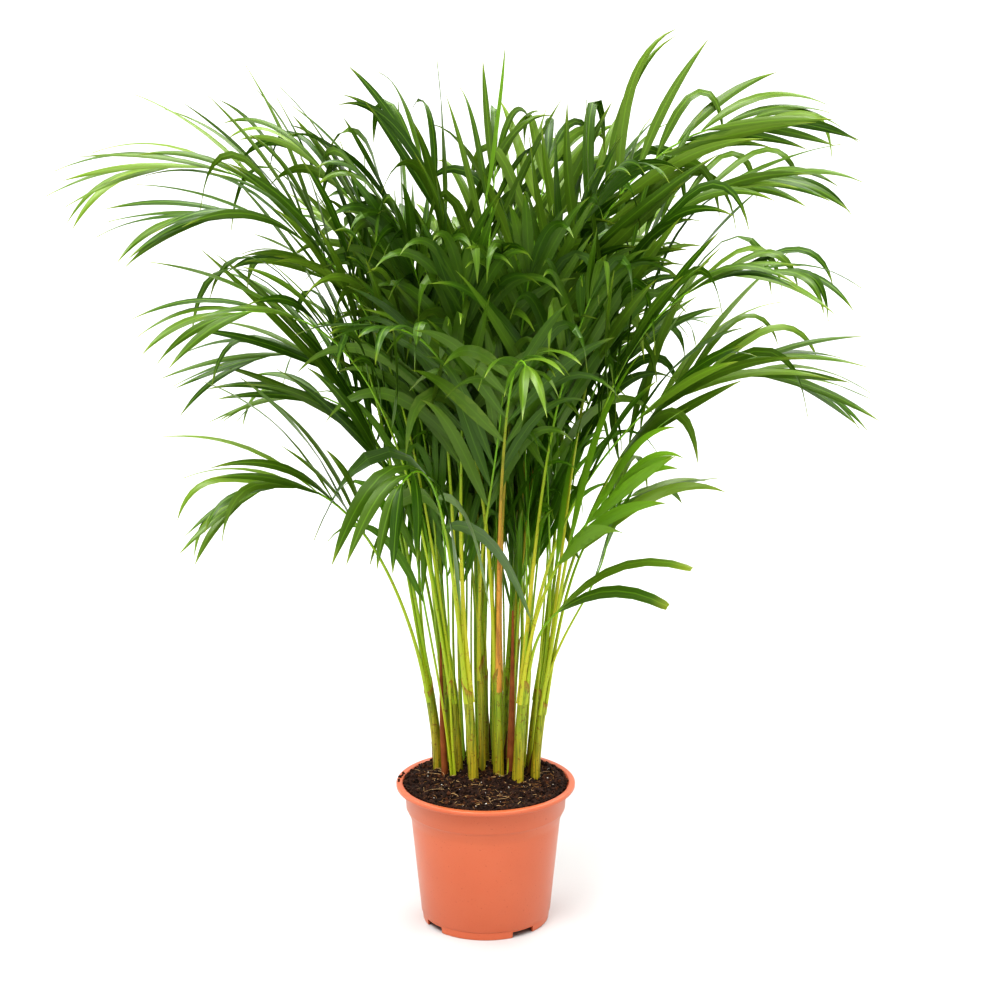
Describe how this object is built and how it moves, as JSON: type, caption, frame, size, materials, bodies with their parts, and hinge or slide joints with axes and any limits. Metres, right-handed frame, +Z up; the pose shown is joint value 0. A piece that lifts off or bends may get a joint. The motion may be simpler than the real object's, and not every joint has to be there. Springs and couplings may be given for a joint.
{
  "type": "potted palm",
  "caption": "Clump-forming feather palm with arching fronds on slender canes, growing in a tapered plastic nursery pot with a rolled rim.",
  "frame": {"origin": "on the pot's axis, on the surface that the pot stands on, under the middle of the whole plant's box", "axes": "+Z up along the pot's axis; the clump is seen best from -Y, with +X to the right"},
  "size_m": [0.924, 0.69, 1.022],
  "materials": {
    "pot_plastic": "injection-moulded polypropylene, satin, terracotta orange",
    "potting_soil": "moist dark peat mix, crumbly",
    "cane_sheath": "smooth green-yellow leaf sheath with brown specks",
    "dry_sheath": "dry fibrous sheath, matte brown",
    "frond": "deep green leaf, soft waxy sheen, fine parallel veins",
    "young_frond": "light green young leaf, soft waxy sheen"
  },
  "bodies": {
    "root": {"pot": "pot_plastic", "soil": "potting_soil", "cane_01": "cane_sheath", "cane_02": "cane_sheath", "cane_03": "cane_sheath", "cane_04": "cane_sheath", "cane_05": "cane_sheath", "cane_06": "cane_sheath", "cane_07": "cane_sheath", "cane_08": "cane_sheath", "cane_09": "cane_sheath", "cane_10": "cane_sheath", "cane_11": "cane_sheath", "cane_12": "cane_sheath", "cane_13": "cane_sheath", "cane_14": "cane_sheath", "dry_sheath_1": "dry_sheath", "dry_sheath_2": "dry_sheath", "frond_01": "frond", "frond_02": "frond", "frond_03": "frond", "frond_04": "frond", "frond_05": "frond", "frond_06": "frond", "frond_07": "frond", "frond_08": "frond", "frond_09": "frond", "frond_10": "young_frond", "frond_11": "frond", "frond_12": "frond", "frond_13": "frond", "frond_14": "frond", "frond_15": "frond", "frond_16": "frond", "frond_17": "frond", "frond_18": "frond", "frond_19": "frond", "frond_20": "frond", "frond_21": "frond", "frond_22": "frond", "frond_23": "frond", "frond_24": "young_frond", "frond_25": "frond", "frond_26": "frond", "frond_27": "frond", "frond_28": "frond", "frond_29": "frond", "frond_30": "frond", "frond_31": "frond", "frond_32": "frond", "frond_33": "frond", "frond_34": "frond", "frond_35": "frond", "frond_36": "frond", "frond_37": "frond", "frond_38": "young_frond", "frond_39": "frond", "frond_40": "frond", "frond_41": "frond", "frond_42": "frond"}
  },
  "joints": []
}
